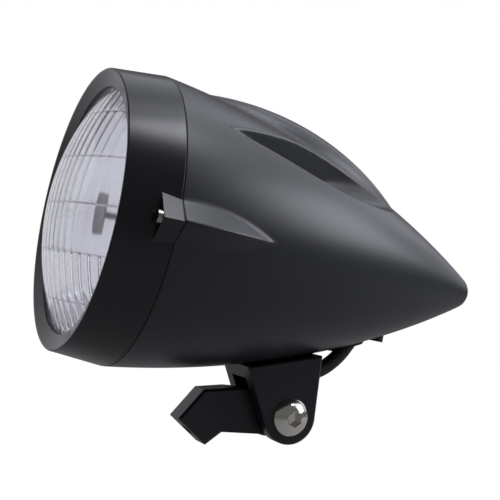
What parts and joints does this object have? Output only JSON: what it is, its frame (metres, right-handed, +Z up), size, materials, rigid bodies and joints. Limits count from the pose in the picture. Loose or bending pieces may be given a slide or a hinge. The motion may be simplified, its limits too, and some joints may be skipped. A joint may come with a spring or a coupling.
{
  "type": "motorcycle headlight",
  "caption": "Bullet-shaped black motorcycle headlight with a dorsal spine and scoops, a fluted glass lens, and a clevis that tilts on a short fork arm.",
  "frame": {"origin": "middle of the threaded hole's mouth in the arm's slanted seat", "axes": "+Z up with the arm level, -Y the way the lens looks, +X the side of the pivot bolt's head"},
  "size_m": [0.1872, 0.2755, 0.2189],
  "materials": {
    "black_coat": "satin",
    "stainless": "polished",
    "zinc_plate": "zinc plated",
    "lens_glass": "clear",
    "bulb_glass": "clear",
    "gasket_rubber": "matt",
    "reflector_mirror": "vapour coated",
    "shade_grey": "matt",
    "plug_plastic": "matt",
    "lead_insulation": "satin",
    "cable_sleeve": "matt"
  },
  "bodies": {
    "fork_arm": {"mount_arm": "black_coat"},
    "lamp": {"lamp_shell": "black_coat", "trim_ring": "black_coat", "pivot_bracket": "black_coat", "ring_screws": "stainless", "pivot_bolt": "stainless", "side_washers": "stainless", "nut_washer": "stainless", "pivot_nut": "stainless", "lens": "lens_glass", "bulb_glass": "bulb_glass", "lens_gasket": "gasket_rubber", "reflector": "reflector_mirror", "retaining_ring": "zinc_plate", "bulb_base": "zinc_plate", "bulb_shade": "shade_grey", "bulb_clip": "zinc_plate", "bulb_boot": "gasket_rubber", "bulb_plug": "plug_plastic", "bulb_leads": "lead_insulation", "cable_grommet": "gasket_rubber", "cable_sleeve": "cable_sleeve", "cable_joint": "plug_plastic", "drain_plug": "gasket_rubber", "bracket_washers": "zinc_plate", "bracket_screws": "zinc_plate"}
  },
  "joints": [
    {"name": "tilt", "type": "hinge", "parent": "fork_arm", "child": "lamp", "pos_m": [0, 0.0575, 0.0064], "axis": [-1, 0, 0], "range_deg": [-8, 25]}
  ]
}
